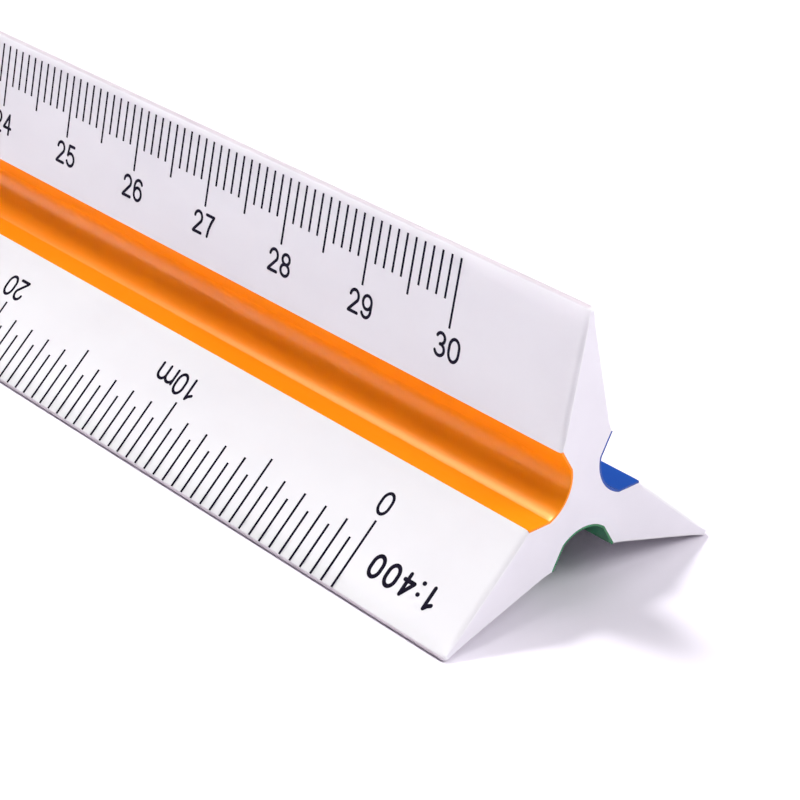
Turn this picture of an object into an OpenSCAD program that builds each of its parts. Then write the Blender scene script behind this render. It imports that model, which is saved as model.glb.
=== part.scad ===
// Triangular scale ruler: a white bar with three blades, and a coloured grip strip in each of its flutes.
// The bar lies along X on one of its sides, with a blade on top. The origin is the middle of its base.

/* [Length] */
// Length of the printed scales
scale_length = 300; // [100:10:500]
// Plain margin past each end of the scales
end_margin = 13.2; // [5:0.1:20]

/* [Blades] */
// Width of each of the three sides, from blade edge to blade edge
side_width = 27.1; // [24:0.1:32]
// Slope of each graduated facet, inwards from the plane of its side, in degrees
facet_slope = 17.6; // [14:0.1:19]
// Thickness of each blade's blunt edge
edge_thickness = 0.45; // [0.1:0.05:0.6]

/* [Flutes] */
// Width of each flute, from lip to lip
flute_width = 6.02; // [5:0.02:7]
// Width of each flat flute wall, from lip to crease
wall_width = 2.05; // [1.5:0.05:2.2]
// Steepness of the flute walls, measured from the plane of the side, in degrees
wall_slope = 60; // [55:1:65]
// Sweep of the rounded flute floor, from crease to crease, in degrees
floor_sweep = 80; // [60:1:100]

/* [Grip strips] */
// Thickness of the coloured strips
strip_thickness = 0.2; // [0.15:0.05:0.5]

/* [Hidden] */
$fn = 180;

// Turn of each side about the bar's centre line, counted from the side that lies underneath
UNDERSIDE = 0;
FRONT = -120;
BACK = -240;

total_length = scale_length + 2 * end_margin;
half_side = side_width / 2;
// The three sides and the three blunt edges make a triangle with its corners cut off
side_to_centre = (side_width + 2 * edge_thickness) / (2 * sqrt(3));

// Points in the outline of one side: x runs across the side from its middle, and y points out of it
edge = [half_side, 0];
valley = [0, -half_side * tan(facet_slope)];
lip = [flute_width / 2, -(half_side - flute_width / 2) * tan(facet_slope)];
down_wall = [-cos(wall_slope), -sin(wall_slope)];
into_wall = [sin(wall_slope), -cos(wall_slope)];
crease = lip + wall_width * down_wall;
floor_radius = crease[0] / sin(floor_sweep / 2);
floor_centre = [0, crease[1] + floor_radius * cos(floor_sweep / 2)];
// How far a flute's cutting outline stands out past its lips
clearance = 4;

function mirrored(p) = [-p[0], p[1]];

function turned(p, angle) =
    [p[0] * cos(angle) - p[1] * sin(angle), p[0] * sin(angle) + p[1] * cos(angle)];

// The top of a wall, once the wall has been moved a given depth into the body, square to itself
function wall_top(depth) = lip + depth * into_wall;

// The point of the wall's line that is nearest to the floor's centre, so it lies inside the floor's circle
function wall_by_floor(depth) =
    wall_top(depth) - ((wall_top(depth) - floor_centre) * down_wall) * down_wall;

// The point where the two walls' lines would meet, below the floor
function wall_meeting(depth) =
    [0, wall_top(depth)[1] - wall_top(depth)[0] * tan(wall_slope)];

// The point where lines square to the walls through the two lips would meet, above the flute
rim_meeting = [0, lip[1] + lip[0] / tan(wall_slope)];

// The bar before its flutes are cut: each side is two facets that slope down to a valley
module blank_outline() {
    translate([0, side_to_centre])
        polygon([
            for (turn = [UNDERSIDE, FRONT, BACK], point = [mirrored(edge), valley, edge])
                turned(point + [0, side_to_centre], 180 + turn)
        ]);
}

// Moves what is drawn for one side to that side
module on_side(turn) {
    translate([0, side_to_centre])
        rotate(180 + turn)
            translate([0, side_to_centre])
                children();
}

// Keeps what lies above the rounded floor, once the floor has been moved a given depth into the body
module above_floor(depth) {
    intersection() {
        children();
        union() {
            translate(floor_centre)
                circle(floor_radius + depth);
            translate([-side_width, wall_by_floor(depth)[1]])
                square([2 * side_width, side_width]);
        }
    }
}

// The open flute, whose walls run on past its lips
module flute_outline() {
    top = lip - clearance * down_wall;
    above_floor(0)
        polygon([mirrored(top), wall_meeting(0), top]);
}

// The flute with the seat of its strip, whose rims run from the lips square to the walls
module seat_outline() {
    corner = wall_top(strip_thickness);
    above_floor(strip_thickness)
        polygon([rim_meeting, mirrored(corner), wall_meeting(strip_thickness), corner]);
}

// Runs an outline along the whole bar, with the outline's x along Y and its y along Z
module along_bar() {
    rotate([90, 0, 90])
        linear_extrude(total_length, center = true)
            children();
}

// The white bar, with a seat for a strip in each flute
module ruler_body() {
    color("whitesmoke")
        along_bar()
            difference() {
                blank_outline();
                for (turn = [UNDERSIDE, FRONT, BACK])
                    on_side(turn)
                        seat_outline();
            }
}

// A strip that lines one flute; the facets end at its long edges
module grip_strip(turn) {
    along_bar()
        on_side(turn)
            difference() {
                seat_outline();
                flute_outline();
            }
}

module grip_strip_orange() {
    color("darkorange")
        grip_strip(FRONT);
}

module grip_strip_green() {
    color("seagreen")
        grip_strip(UNDERSIDE);
}

module grip_strip_blue() {
    color("royalblue")
        grip_strip(BACK);
}

ruler_body();
grip_strip_orange();
grip_strip_green();
grip_strip_blue();
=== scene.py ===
import math
import bmesh
import bpy
from mathutils import Matrix, Vector


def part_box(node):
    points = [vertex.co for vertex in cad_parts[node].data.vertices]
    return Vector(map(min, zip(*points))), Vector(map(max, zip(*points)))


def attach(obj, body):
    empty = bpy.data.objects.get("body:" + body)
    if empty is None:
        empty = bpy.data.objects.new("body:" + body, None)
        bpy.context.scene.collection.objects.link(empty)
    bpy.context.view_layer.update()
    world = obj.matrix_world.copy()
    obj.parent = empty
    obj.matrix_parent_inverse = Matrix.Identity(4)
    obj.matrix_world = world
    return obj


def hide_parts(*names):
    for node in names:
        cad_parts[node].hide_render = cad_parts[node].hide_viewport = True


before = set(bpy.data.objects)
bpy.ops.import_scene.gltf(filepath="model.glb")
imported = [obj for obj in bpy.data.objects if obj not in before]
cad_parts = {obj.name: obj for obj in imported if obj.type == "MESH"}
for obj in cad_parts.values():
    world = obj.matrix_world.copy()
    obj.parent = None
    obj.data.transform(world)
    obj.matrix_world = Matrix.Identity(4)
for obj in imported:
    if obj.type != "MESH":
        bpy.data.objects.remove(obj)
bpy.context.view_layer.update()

# Lengths below are in millimetres and angles in degrees, until something is made of them.
MM = 0.001

# ---------------------------------------------------------------- the bar's section, as the CAD model has it
SIDE_WIDTH = 27.1
FACET_SLOPE = 17.6
EDGE_THICKNESS = 0.45
FLUTE_WIDTH = 6.02
WALL_WIDTH = 2.05
WALL_SLOPE = 60
FLOOR_SWEEP = 80
STRIP_THICKNESS = 0.2

# Turn of each side about the bar's centre line, counted from the side that lies underneath
UNDERSIDE, FRONT, BACK = 0, -120, -240
SIDES = (UNDERSIDE, FRONT, BACK)

BAR_HALF_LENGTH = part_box("ruler_body")[1].x / MM
HALF_SIDE = SIDE_WIDTH / 2
SIDE_TO_CENTRE = (SIDE_WIDTH + 2 * EDGE_THICKNESS) / (2 * math.sqrt(3))

# ---------------------------------------------------------------- the printing
SCALE_HALF_LENGTH = 150
TICK_WIDTH = 0.22
TICK_ENDS = {"short": 4.08, "medium": 5.15, "long": 6.12}
INK_HEIGHT = 0.012
INK_DEPTH = 0.01
NUMBER_BASE = 8.58
NUMBER_HEIGHT = 2.02
NUMBER_STROKE = 0.265
NUMBER_GAP = 0.45
NUMBER_SHIFT = 0.12
TITLE_BASE = 4.25
TITLE_HEIGHT = 2.05
TITLE_STROKE = 0.34
TITLE_GAP = 0.71
TITLE_END = -1.9

# Title, side, which facet (+1 reads from -X, -1 from +X), millimetres to the metre, metres to a tick,
# ticks to a medium tick, to a long tick and to a number, where the ticks start from the blade's edge,
# and how far the print has slipped along its scale and away from the edge
SCALES = (
    ("1:100", FRONT, +1, 10.0, 0.1, 5, 10, 10, 0.6, (0.0, 0.12)),
    ("1:400", FRONT, -1, 2.5, 0.5, 2, 10, 20, 0.15, (-0.6, 0.0)),
    ("1:200", BACK, +1, 5.0, 0.2, 5, 10, 10, 0.15, (0.0, 0.0)),
    ("1:500", BACK, -1, 2.0, 0.5, 2, 10, 20, 0.15, (0.0, 0.0)),
    ("1:250", UNDERSIDE, +1, 4.0, 0.5, 2, 10, 10, 0.15, (0.0, 0.0)),
    ("1:300", UNDERSIDE, -1, 10 / 3, 0.5, 2, 10, 10, 0.15, (0.0, 0.0)),
)


def turned(p, angle):
    c, s = math.cos(math.radians(angle)), math.sin(math.radians(angle))
    return Vector((p[0] * c - p[1] * s, p[0] * s + p[1] * c))


def on_section(turn, p):
    """The (y, z) point of a side's outline point: x runs across the side from its middle, y out of it."""
    return turned((p[0], p[1] + SIDE_TO_CENTRE), 180 + turn) + Vector((0, SIDE_TO_CENTRE))


# Directions and points in a side's own outline, on its +x half
ALONG_FACET = turned((-1, 0), FACET_SLOPE)
OUT_OF_FACET = turned((0, 1), FACET_SLOPE)
DOWN_WALL = turned((-1, 0), WALL_SLOPE)
INTO_WALL = turned((0, -1), WALL_SLOPE)
BLADE_EDGE = Vector((HALF_SIDE, 0))
FACET_WIDTH = (HALF_SIDE - FLUTE_WIDTH / 2) / math.cos(math.radians(FACET_SLOPE))
LIP = BLADE_EDGE + FACET_WIDTH * ALONG_FACET
CREASE = LIP + WALL_WIDTH * DOWN_WALL
FLOOR_RADIUS = CREASE.x / math.sin(math.radians(FLOOR_SWEEP / 2))
FLOOR_CENTRE = Vector((0, CREASE.y + FLOOR_RADIUS * math.cos(math.radians(FLOOR_SWEEP / 2))))


def wall_top(depth):
    """The top of a flute's wall, once the wall has been moved into the body by depth, square to itself."""
    return LIP + depth * INTO_WALL


def wall_foot(depth):
    """Where that wall meets the flute's floor, moved as far."""
    start = wall_top(depth) - FLOOR_CENTRE
    along = start.dot(DOWN_WALL)
    reach = along * along - start.length_squared + (FLOOR_RADIUS + depth) ** 2
    return wall_top(depth) + (math.sqrt(reach) - along) * DOWN_WALL


def floor_arc(depth, steps):
    """The flute's floor from its +x crease to its -x crease, without the creases themselves."""
    foot = wall_foot(depth) - FLOOR_CENTRE
    half_sweep = math.degrees(math.atan2(foot.x, -foot.y))
    return [
        FLOOR_CENTRE + turned((0, -FLOOR_RADIUS - depth), half_sweep * (1 - 2 * i / steps))
        for i in range(1, steps)
    ]


def mirrored(points):
    """The same points on the side's -x half, in the opposite order."""
    return [Vector((-p.x, p.y)) for p in reversed(points)]


# ---------------------------------------------------------------- meshes
def mesh_object(name, bm, materials):
    bmesh.ops.recalc_face_normals(bm, faces=bm.faces)
    mesh = bpy.data.meshes.new(name)
    bm.to_mesh(mesh)
    bm.free()
    for material in materials:
        mesh.materials.append(material)
    obj = bpy.data.objects.new(name, mesh)
    bpy.context.scene.collection.objects.link(obj)
    return obj


def shade_smooth(obj, sharp_angle):
    """Smooth shading that keeps edges sharper than the angle, with flat faces kept flat beside rounds."""
    obj.data.polygons.foreach_set("use_smooth", [True] * len(obj.data.polygons))
    obj.data.set_sharp_from_angle(angle=math.radians(sharp_angle))
    normals = obj.modifiers.new("flat_faces_stay_flat", "WEIGHTED_NORMAL")
    normals.keep_sharp = True


def loft(bm, rings, closed=False):
    """Quads between rings of as many vertices each; a closed loft joins the last ring to the first."""
    count = len(rings[0])
    pairs = list(zip(rings, rings[1:]))
    if closed:
        pairs.append((rings[-1], rings[0]))
    for a, b in pairs:
        for i in range(count):
            j = (i + 1) % count
            bm.faces.new((a[i], a[j], b[j], b[i]))


# Length and steps of the rounding at each end of the bar, and the number of stretches between the two
END_ROUND_LENGTH = 0.5
END_ROUND_STEPS = 5
STRETCHES = 16


def stations():
    """(x, share of the end rounding's inset) from one end of the bar to the other."""
    start = BAR_HALF_LENGTH - END_ROUND_LENGTH
    turns = [math.radians(90 * i / END_ROUND_STEPS) for i in range(END_ROUND_STEPS, -1, -1)]
    low_end = [(-start - END_ROUND_LENGTH * math.sin(t), 1 - math.cos(t)) for t in turns]
    middle = [(start * (2 * i / STRETCHES - 1), 0) for i in range(1, STRETCHES)]
    high_end = [(-x, inset) for x, inset in reversed(low_end)]
    return low_end + middle + high_end


def extrusion(name, outline, insets, materials):
    """A closed bar along X of (y, z) points, each of which moves by its inset as the ends round over."""
    bm = bmesh.new()
    rings = [
        [bm.verts.new(MM * Vector((x, *(p + share * inset)))) for p, inset in zip(outline, insets)]
        for x, share in stations()
    ]
    loft(bm, rings)
    for ring in (rings[0], rings[-1]):
        end_face = bm.faces.new(ring)
        end_face.material_index = 1
    return mesh_object(name, bm, materials)


# How far the facets draw in at the rounded ends of the bar: at most, at the blade's edge and beside the lip,
# and how much more than that for each millimetre away from the edge and from the lip
FACET_INSET = 0.3
EDGE_INSET = 0.12
EDGE_INSET_RISE = 0.09
LIP_INSET = 0.08
LIP_INSET_RISE = 0.3
# How far each blade's tip draws back along the blade there, over what length of it, and how far it thins
TIP_INSET = 0.3
TIP_LENGTH = 1.6
TIP_THINNING = 0.06
# Where the facets have points: distances from the blade's edge, then from the lip
FACET_STEPS = (0.3, 0.8, 1.6, 3.0, 5.5, 8.0)
LIP_STEPS = (1.0, 0.3, 0.0)
SEAT_STEPS = 24
# How far each blade's blunt edge faces out of the plane of the side, and the rounding of its two corners
BLUNT_EDGE_TURN = 30
EDGE_RADIUS = 0.26
EDGE_STEPS = 4
# Edges of the bar that stay sharp turn by more than this
BAR_SHARP_ANGLE = 20


def blade_edge_points():
    """(point, inset) round the corner between the blunt edge and the facet, on a side's +x half."""
    half_turn = (90 - BLUNT_EDGE_TURN + FACET_SLOPE) / 2
    tangent = EDGE_RADIUS * math.tan(math.radians(half_turn))
    centre = BLADE_EDGE + tangent * ALONG_FACET - EDGE_RADIUS * OUT_OF_FACET
    turns = [BLUNT_EDGE_TURN + 2 * half_turn * i / EDGE_STEPS for i in range(EDGE_STEPS + 1)]
    out = [turned((1, 0), turn) for turn in turns]
    back = TIP_INSET * turned((-1, 0), BLUNT_EDGE_TURN)
    return [(centre + EDGE_RADIUS * way, back - TIP_THINNING * way) for way in out]


def facet_points():
    """(point, inset) from the blade's edge to the lip, on a side's +x half."""
    found = blade_edge_points()
    for s in (*FACET_STEPS, *(FACET_WIDTH - step for step in LIP_STEPS)):
        by_edge = EDGE_INSET + EDGE_INSET_RISE * s
        by_lip = LIP_INSET + LIP_INSET_RISE * (FACET_WIDTH - s)
        depth = min(FACET_INSET, by_edge, by_lip)
        back = TIP_INSET * max(0, 1 - s / TIP_LENGTH)
        found.append((BLADE_EDGE + s * ALONG_FACET, back * ALONG_FACET - depth * OUT_OF_FACET))
    return found


def side_outline():
    """(point, inset) across one side of the bar, from its +x blade edge to its -x one."""
    still = Vector((0, 0))
    seat = [(wall_top(STRIP_THICKNESS), still), (wall_foot(STRIP_THICKNESS), still)]
    half = facet_points() + seat
    other = [(Vector((-p.x, p.y)), Vector((-d.x, d.y))) for p, d in reversed(half)]
    return half + [(p, still) for p in floor_arc(STRIP_THICKNESS, SEAT_STEPS)] + other


def make_body(materials):
    outline, insets = [], []
    for turn in reversed(SIDES):
        for p, inset in side_outline():
            outline.append(on_section(turn, p))
            insets.append(turned(inset, 180 + turn))
    body = extrusion("ruler_bar", outline, insets, materials)
    shade_smooth(body, BAR_SHARP_ANGLE)
    return body


# Steps round a strip's floor, how far its front draws in at the bar's ends, and how far its sharp edges turn
FLOOR_STEPS = 36
STRIP_INSET = 0.03
STRIP_SHARP_ANGLE = 12


def make_strip(name, turn, materials):
    """A coloured strip: its back fits the seat, its front is the flute's walls and rounded floor."""
    front_half = [LIP, CREASE]
    back_half = [wall_top(STRIP_THICKNESS), wall_foot(STRIP_THICKNESS)]
    front = front_half + floor_arc(0, FLOOR_STEPS) + mirrored(front_half)
    back = back_half + floor_arc(STRIP_THICKNESS, FLOOR_STEPS) + mirrored(back_half)
    inward = [STRIP_INSET * (b - f).normalized() for f, b in zip(front, back)]
    side_points = front + back[::-1]
    side_insets = inward + [Vector((0, 0))] * len(back)
    outline = [on_section(turn, p) for p in side_points]
    insets = [turned(inset, 180 + turn) for inset in side_insets]
    strip = extrusion(name, outline, insets, materials)
    shade_smooth(strip, STRIP_SHARP_ANGLE)
    return strip


# ---------------------------------------------------------------- ink
class Facet:
    """Places print on a facet: u is along its scale from zero, v in from the blade's edge, h out of it."""

    def __init__(self, turn, half, slip):
        self.turn, self.half, self.slip = turn, half, slip

    def at(self, u, v, h):
        p = BLADE_EDGE + (v + self.slip[1]) * ALONG_FACET + h * OUT_OF_FACET
        y, z = on_section(self.turn, (self.half * p.x, p.y))
        return MM * Vector((self.half * (u + self.slip[0] - SCALE_HALF_LENGTH), y, z))


def ink_prism(bm, facet, pairs, lift, closed):
    """A thin closed solid of ink over pairs of (u, v) points, left and right along a stroke."""
    top = INK_HEIGHT + lift
    rings = [
        [bm.verts.new(facet.at(*p, h)) for p, h in ((a, top), (b, top), (b, -INK_DEPTH), (a, -INK_DEPTH))]
        for a, b in pairs
    ]
    loft(bm, rings, closed)
    if not closed:
        bm.faces.new(rings[0])
        bm.faces.new(rings[-1])


def tick(bm, facet, u, start, end):
    half = TICK_WIDTH / 2
    ink_prism(bm, facet, [((u - half, v), (u + half, v)) for v in (start, end)], 0, False)


def arc(cx, cy, rx, ry, start, end, steps=14):
    angles = [math.radians(start + (end - start) * i / steps) for i in range(steps + 1)]
    return [(cx + rx * math.cos(a), cy + ry * math.sin(a)) for a in angles]


ARCH_RISE = 0.28


def arch(left, right, top):
    """One arch of a small m: round from the top of its left leg, and down its right leg."""
    middle = (left + right) / 2
    return arc(middle, top - ARCH_RISE, (right - left) / 2, ARCH_RISE, 180, 0) + [(right, 0)]


# Each character: its width, and its strokes as points on the pen's line, in shares of the pen line's height
NINE_BOWL = arc(0.30, 0.69, 0.28, 0.31, 0, 360, 28)[:-1]
GLYPHS = {
    "0": (0.60, [arc(0.30, 0.62, 0.30, 0.38, 0, 180) + arc(0.30, 0.38, 0.30, 0.38, 180, 360)]),
    "1": (0.60, [[(0.08, 0.74), (0.24, 0.83), (0.38, 1.0)], [(0.38, 1.0), (0.38, 0.0)]]),
    "2": (0.60, [arc(0.29, 0.71, 0.27, 0.29, 172, -32) + [(0.04, 0.06)], [(0.0, 0.0), (0.6, 0.0)]]),
    "3": (0.60, [arc(0.28, 0.755, 0.25, 0.245, 158, -90), arc(0.29, 0.26, 0.29, 0.26, 90, -160)]),
    "4": (0.60, [[(0.44, 0.0), (0.44, 1.0)], [(0.44, 1.0), (0.0, 0.32)], [(0.0, 0.32), (0.6, 0.32)]]),
    "5": (0.60, [[(0.54, 1.0), (0.14, 1.0)], [(0.14, 1.0), (0.06, 0.50)],
                 arc(0.29, 0.32, 0.30, 0.32, 142, -158)]),
    "6": (0.60, [[(0.60 - x, 1 - y) for x, y in NINE_BOWL],
                 arc(0.32, 0.66, 0.30, 0.34, 32, 180) + [(0.02, 0.34)]]),
    "7": (0.60, [[(0.02, 1.0), (0.58, 1.0)], [(0.58, 1.0), (0.42, 0.72), (0.28, 0.36), (0.22, 0.0)]]),
    "8": (0.60, [arc(0.30, 0.765, 0.25, 0.235, 0, 360, 24)[:-1],
                 arc(0.30, 0.265, 0.29, 0.265, 0, 360, 24)[:-1]]),
    "9": (0.60, [NINE_BOWL, arc(0.28, 0.34, 0.30, 0.34, 212, 360) + [(0.58, 0.66)]]),
    ":": (0.04, [[(0.0, 0.06), (0.04, 0.06)], [(0.0, 0.62), (0.04, 0.62)]]),
    "m": (1.14, [[(0.0, 0.0), (0.0, 0.74)], arch(0.0, 0.57, 0.74), arch(0.57, 1.14, 0.74)]),
}
# Strokes of these characters with more points than this are closed rings
RINGS = ("0", "6", "8", "9")
RING_POINTS = 20
# Each stroke of a character stands this much higher than the last, so that no two tops lie in one plane
LIFT_STEP = 0.0006
# Steps and turn of each half of a stroke's round end, which stops a little short of a point
CAP_STEPS = 4
CAP_TURN = 84
# Cosine of half the sharpest turn at which a stroke's corners are still mitred in full
SHARPEST_CORNER = 0.6


def pen_pairs(points, half, closed):
    """The (left, right) points of a stroke of the pen along points, with round ends if it isn't closed."""
    points = [Vector(p) for p in points]
    count = len(points)
    pairs = []
    for i, p in enumerate(points):
        before = points[i - 1] if i or closed else None
        after = points[(i + 1) % count] if i < count - 1 or closed else None
        came = (p - before).normalized() if before is not None else (after - p).normalized()
        goes = (after - p).normalized() if after is not None else came
        way = (came + goes).normalized()
        side = Vector((-way.y, way.x)) * half / max(SHARPEST_CORNER, way.dot(came))
        pairs.append((p + side, p - side))
    if closed:
        return pairs
    for end, inner in ((0, 1), (-1, -2)):
        way = (points[end] - points[inner]).normalized()
        side = (pairs[end][0] - pairs[end][1]) / 2
        cap = []
        for i in range(1, CAP_STEPS + 1):
            a = math.radians(CAP_TURN * i / CAP_STEPS)
            reach = points[end] + way * half * math.sin(a)
            cap.append((reach + side * math.cos(a), reach - side * math.cos(a)))
        pairs = cap[::-1] + pairs if end == 0 else pairs + cap
    return pairs


def text_width(text, pen_height, gap):
    return sum(GLYPHS[c][0] for c in text) * pen_height + gap * (len(text) - 1)


def write(bm, facet, text, start, base, height, stroke, gap):
    """Writes text from u = start, standing on v = base with its top towards the blade's edge."""
    pen_height = height - stroke
    foot = base - stroke / 2
    for character in text:
        width, strokes = GLYPHS[character]
        for layer, points in enumerate(strokes):
            placed = [(start + x * pen_height, foot - y * pen_height) for x, y in points]
            closed = character in RINGS and len(points) > RING_POINTS
            pairs = pen_pairs(placed, stroke / 2, closed)
            ink_prism(bm, facet, pairs, layer * LIFT_STEP, closed)
        start += width * pen_height + gap


def make_scale(title, turn, half, metre, step, medium, long, number, start, slip, materials):
    """All the ink of one scale: its ticks, its numbers and its title."""
    facet = Facet(turn, half, slip)
    bm = bmesh.new()
    count = round(2 * SCALE_HALF_LENGTH / (metre * step))
    for i in range(count + 1):
        u = i * metre * step
        kind = "long" if i % long == 0 else "medium" if i % medium == 0 else "short"
        tick(bm, facet, u, start, TICK_ENDS[kind])
        if i % number == 0:
            digits = str(round(i * step))
            width = text_width(digits, NUMBER_HEIGHT - NUMBER_STROKE, NUMBER_GAP)
            shown = digits + "m" if i == number else digits
            write(bm, facet, shown, u - width / 2 + NUMBER_SHIFT, NUMBER_BASE,
                  NUMBER_HEIGHT, NUMBER_STROKE, NUMBER_GAP)
    width = text_width(title, TITLE_HEIGHT - TITLE_STROKE, TITLE_GAP)
    write(bm, facet, title, TITLE_END - TITLE_STROKE / 2 - width, TITLE_BASE,
          TITLE_HEIGHT, TITLE_STROKE, TITLE_GAP)
    return mesh_object("scale_" + title.replace(":", "_"), bm, materials)


# ---------------------------------------------------------------- materials
class Nodes:
    """A small helper that adds nodes to one material and links them."""

    def __init__(self, name):
        self.material = bpy.data.materials.new(name)
        self.material.use_nodes = True
        self.tree = self.material.node_tree
        self.shader = self.tree.nodes["Principled BSDF"]

    def add(self, kind, inputs=(), **settings):
        node = self.tree.nodes.new(kind)
        for name, value in settings.items():
            setattr(node, name, value)
        for name, value in dict(inputs).items():
            if isinstance(value, bpy.types.NodeSocket):
                self.tree.links.new(value, node.inputs[name])
            else:
                node.inputs[name].default_value = value
        return node

    def set(self, **values):
        for name, value in values.items():
            socket = self.shader.inputs[name.replace("_", " ")]
            if isinstance(value, bpy.types.NodeSocket):
                self.tree.links.new(value, socket)
            else:
                socket.default_value = value

    def place(self, scale):
        """The object's own coordinates in metres, times scale along each axis."""
        where = self.add("ShaderNodeTexCoord").outputs["Object"]
        return self.add("ShaderNodeMapping", {"Vector": where, "Scale": scale}).outputs["Vector"]

    def noise(self, vector, detail=3.0, roughness=0.5):
        return self.add(
            "ShaderNodeTexNoise", {"Vector": vector, "Scale": 1.0, "Detail": detail, "Roughness": roughness}
        ).outputs["Fac"]

    def ramp(self, factor, low, high, start=0.0, end=1.0):
        """A smooth change from low to high as factor goes from start to end; colours or plain numbers."""
        plain = not hasattr(low, "__len__")
        node = self.add("ShaderNodeMapRange" if plain else "ShaderNodeValToRGB")
        if plain:
            self.tree.links.new(factor, node.inputs["Value"])
            for name, value in (("From Min", start), ("From Max", end), ("To Min", low), ("To Max", high)):
                node.inputs[name].default_value = value
            return node.outputs["Result"]
        self.tree.links.new(factor, node.inputs["Fac"])
        for element, place, colour in zip(node.color_ramp.elements, (start, end), (low, high)):
            element.position = place
            element.color = (*colour, 1)
        return node.outputs["Color"]

    def mix(self, factor, low, high):
        """Goes from one colour to another as factor goes from 0 to 1, by the Mix node's colour sockets."""
        node = self.add("ShaderNodeMix", data_type="RGBA")
        for name, value in ((0, factor), (6, low), (7, high)):
            self.tree.links.new(value, node.inputs[name])
        return node.outputs[2]

    def bump(self, layers):
        """Stacks (height socket, depth in metres) layers and gives the last one's normal."""
        normal = None
        for height, depth in layers:
            inputs = {"Height": height, "Strength": 1.0, "Distance": depth}
            if normal is not None:
                inputs["Normal"] = normal
            normal = self.add("ShaderNodeBump", inputs).outputs["Normal"]
        return normal


# Fractal noise mostly lies between these
NOISE_RANGE = (0.3, 0.7)
# How far in from a blade's edge a change starts and where it is full: painted shade greying the edges, then
# letting light through
EDGE_SHADE = (0.17, 0.03)
GLOW = (1.8, 0.8)


def near_blade_edge(n, depths):
    """From 0 at the first depth inside the blades' edges to 1 at the second, told from the centre line."""
    across = n.add("ShaderNodeVectorMath", {0: n.place((1, 1, 1)), 1: (0, 1, 1)}, operation="MULTIPLY")
    centre = (0, 0, MM * SIDE_TO_CENTRE)
    reach = n.add("ShaderNodeVectorMath", {0: across.outputs["Vector"], 1: centre}, operation="DISTANCE")
    start, end = (MM * (math.hypot(HALF_SIDE, SIDE_TO_CENTRE) - depth) for depth in depths)
    return n.ramp(reach.outputs["Value"], 0.0, 1.0, start, end)


def white_plastic():
    """Satin white plastic with faint die lines along the bar, a little mottling and painted shade greying
    the blade edges.
    """
    n = Nodes("white_plastic")
    grain = n.noise(n.place((2500, 9000, 9000)), detail=2.0)
    die_lines = n.noise(n.place((12, 2600, 2600)), detail=4.0, roughness=0.6)
    mottle = n.noise(n.place((90, 160, 160)), detail=3.0)
    clean = n.ramp(mottle, (0.80, 0.785, 0.81), (0.84, 0.83, 0.85), *NOISE_RANGE)
    # Painted shade: the blade edges are greyed to stand in for the shade along them where they meet the
    # floor
    painted_edge_shade = n.ramp(mottle, (0.46, 0.40, 0.44), (0.54, 0.48, 0.52), *NOISE_RANGE)
    n.set(
        Base_Color=n.mix(near_blade_edge(n, EDGE_SHADE), clean, painted_edge_shade),
        Roughness=n.ramp(die_lines, 0.36, 0.5, *NOISE_RANGE),
        Normal=n.bump(((die_lines, 3e-6), (grain, 1.2e-6))),
        Specular_IOR_Level=0.35,
        Subsurface_Weight=near_blade_edge(n, GLOW),
        Subsurface_Radius=(1.0, 0.95, 1.0),
        Subsurface_Scale=0.0012,
    )
    return n.material


def sawn_plastic():
    """The bar's cut ends: the same plastic, dulled by a fine saw and lightly dressed."""
    n = Nodes("sawn_plastic")
    marks = n.noise(n.place((400, 1500, 6000)), detail=4.0, roughness=0.65)
    cloud = n.noise(n.place((200, 200, 200)), detail=2.0)
    n.set(
        Base_Color=n.ramp(cloud, (0.755, 0.73, 0.78), (0.79, 0.765, 0.815), *NOISE_RANGE),
        Roughness=n.ramp(marks, 0.45, 0.62, *NOISE_RANGE),
        Normal=n.bump(((marks, 6e-6),)),
        Specular_IOR_Level=0.4,
    )
    return n.material


def glossy_plastic(name, dark, light):
    """Smooth coloured plastic with faint draw lines along the bar and a soft change of tone."""
    n = Nodes(name)
    draw_lines = n.noise(n.place((9, 1800, 1800)), detail=2.0)
    grain = n.noise(n.place((900, 900, 900)), detail=2.0)
    tone = n.noise(n.place((60, 300, 300)), detail=2.0)
    n.set(
        Base_Color=n.ramp(tone, dark, light, *NOISE_RANGE),
        Roughness=n.ramp(grain, 0.21, 0.27, *NOISE_RANGE),
        Normal=n.bump(((draw_lines, 1e-6),)),
        Specular_IOR_Level=0.4,
        Specular_Tint=(1.0, 0.75, 0.3, 1.0),
    )
    return n.material


def printed_ink():
    """Near-black ink with a violet cast, a little uneven where it lies thin."""
    n = Nodes("printed_ink")
    film = n.noise(n.place((4000, 4000, 4000)), detail=3.0)
    n.set(
        Base_Color=n.ramp(film, (0.004, 0.003, 0.009), (0.016, 0.012, 0.028), 0.35, 0.75),
        Roughness=n.ramp(film, 0.55, 0.75, *NOISE_RANGE),
        Specular_IOR_Level=0.04,
        Normal=n.bump(((film, 1e-6),)),
    )
    return n.material


# ---------------------------------------------------------------- the stage
CAMERA_AIM = (148.8, -5.35, 12.62)
CAMERA_TURN = 49.16
CAMERA_RISE = 27.74
CAMERA_DISTANCE = 189.95
CAMERA_LENS = 114.74


def direction(turn, rise):
    """A unit vector towards -Y at turn 0 and towards +X at turn 90, tilted up by rise."""
    t, r = math.radians(turn), math.radians(rise)
    return Vector((math.cos(r) * math.sin(t), -math.cos(r) * math.cos(t), math.sin(r)))


def looking(at, towards):
    """A matrix at a place, whose -Z looks towards another."""
    turn = (towards - at).to_track_quat("-Z", "Y").to_matrix().to_4x4()
    return Matrix.Translation(at) @ turn


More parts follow.
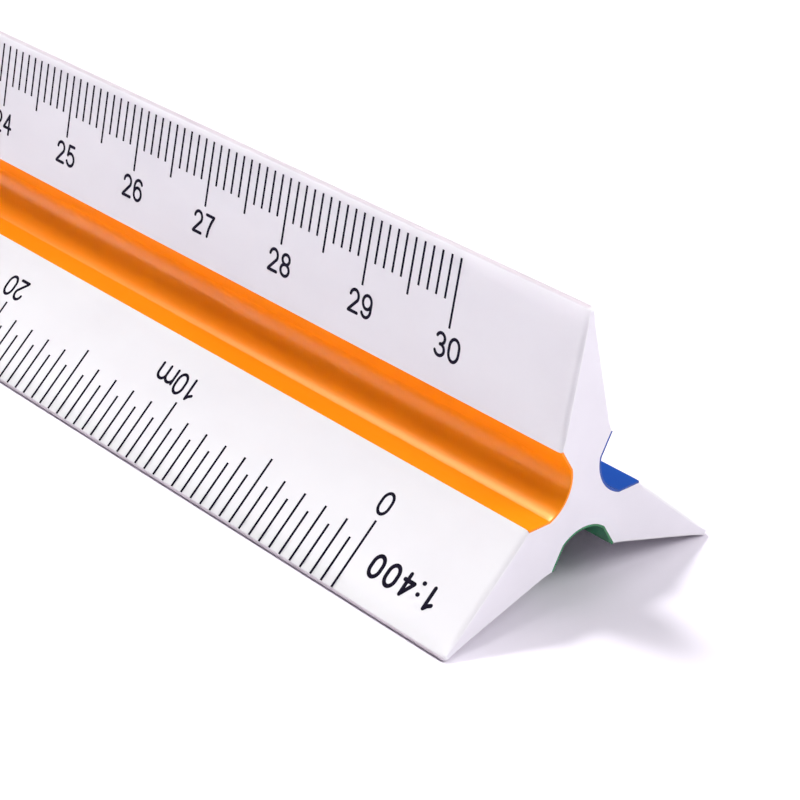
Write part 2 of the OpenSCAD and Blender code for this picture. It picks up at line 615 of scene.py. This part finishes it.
def make_camera():
    data = bpy.data.cameras.new("camera")
    data.lens = CAMERA_LENS
    data.clip_start = 0.01
    camera = bpy.data.objects.new("camera", data)
    aim = MM * Vector(CAMERA_AIM)
    camera.matrix_world = looking(aim + MM * CAMERA_DISTANCE * direction(CAMERA_TURN, CAMERA_RISE), aim)
    bpy.context.scene.collection.objects.link(camera)
    bpy.context.scene.camera = camera


def make_light(name, width, depth, power, spread, matrix):
    """A softbox that shines along its matrix's -Z; spread is the full angle it shines into."""
    data = bpy.data.lights.new(name, "AREA")
    data.shape = "RECTANGLE"
    data.size = width
    data.size_y = depth
    data.energy = power
    data.spread = math.radians(spread)
    light = bpy.data.objects.new(name, data)
    light.matrix_world = matrix
    bpy.context.scene.collection.objects.link(light)


SOFTBOX_SPREAD = 180


def make_softbox(name, turn, rise, size, power):
    """A square softbox, a metre from what the camera looks at and facing it."""
    aim = MM * Vector(CAMERA_AIM)
    make_light(name, size, size, power, SOFTBOX_SPREAD, looking(aim + direction(turn, rise), aim))


# A strip light that shines straight down on the floor in front of the bar, and so lights the flute from
# below; its two sides are in metres and its power is in watts
FLOOR_LIGHT_PLACE = (50, -110, 300)
FLOOR_LIGHT_SIDES = (0.5, 0.06)
FLOOR_LIGHT_POWER = 1.25
FLOOR_LIGHT_SPREAD = 32


def make_floor_light():
    above = Matrix.Translation(MM * Vector(FLOOR_LIGHT_PLACE))
    make_light("floor_light", *FLOOR_LIGHT_SIDES, FLOOR_LIGHT_POWER, FLOOR_LIGHT_SPREAD, above)


# Metres from the middle of the floor to each of its sides
FLOOR_REACH = 3.0


def make_floor():
    bm = bmesh.new()
    bmesh.ops.create_grid(bm, x_segments=1, y_segments=1, size=FLOOR_REACH)
    n = Nodes("floor")
    paper = n.noise(n.place((30, 30, 30)), detail=2.0)
    n.set(
        Base_Color=n.ramp(paper, (0.89, 0.845, 0.935), (0.92, 0.875, 0.96)),
        Roughness=0.5,
        Specular_IOR_Level=0.3,
    )
    floor = mesh_object("floor", bm, [n.material])


WORLD_COLOUR = (0.98, 0.97, 1.0, 1)
WORLD_STRENGTH = 0.1


def make_world():
    world = bpy.data.worlds.new("studio")
    world.use_nodes = True
    background = world.node_tree.nodes["Background"]
    background.inputs["Color"].default_value = WORLD_COLOUR
    background.inputs["Strength"].default_value = WORLD_STRENGTH
    bpy.context.scene.world = world


# Name, turn and rise of each softbox, its side in metres and its power in watts; the glint stands where its
# reflection runs along the whole flute
SOFTBOXES = (
    ("overhead", 180, 80, 0.5, 1.4),
    ("back_left", -110, 45, 0.5, 1.2),
    ("left", -88, 62, 0.18, 5.6),
    ("glint", -89, 48, 0.18, 0.7),
    ("left_front", -75, 55, 0.3, 1.9),
    ("right", 135, 30, 0.6, 4.2),
    ("high_right", 110, 50, 0.6, 3.2),
)


def make_stage():
    make_floor()
    make_world()
    make_floor_light()
    for softbox in SOFTBOXES:
        make_softbox(*softbox)
    bpy.context.scene.view_settings.view_transform = "Standard"


# ---------------------------------------------------------------- putting it together
make_camera()
make_stage()

white, sawn, ink = white_plastic(), sawn_plastic(), printed_ink()
body = make_body([white, sawn])
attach(body, "root")
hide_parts("ruler_body")

STRIPS = (
    ("orange", FRONT, (0.92, 0.245, 0.004), (0.96, 0.275, 0.007)),
    ("green", UNDERSIDE, (0.01, 0.17, 0.075), (0.013, 0.20, 0.09)),
    ("blue", BACK, (0.008, 0.06, 0.32), (0.01, 0.075, 0.37)),
)
for colour, turn, dark, light in STRIPS:
    plastic = glossy_plastic(colour + "_plastic", dark, light)
    strip = make_strip("strip_" + colour, turn, [plastic, plastic])
    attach(strip, "root")
    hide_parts("grip_strip_" + colour)

for scale in SCALES:
    printed = make_scale(*scale, [ink])
    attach(printed, "root")
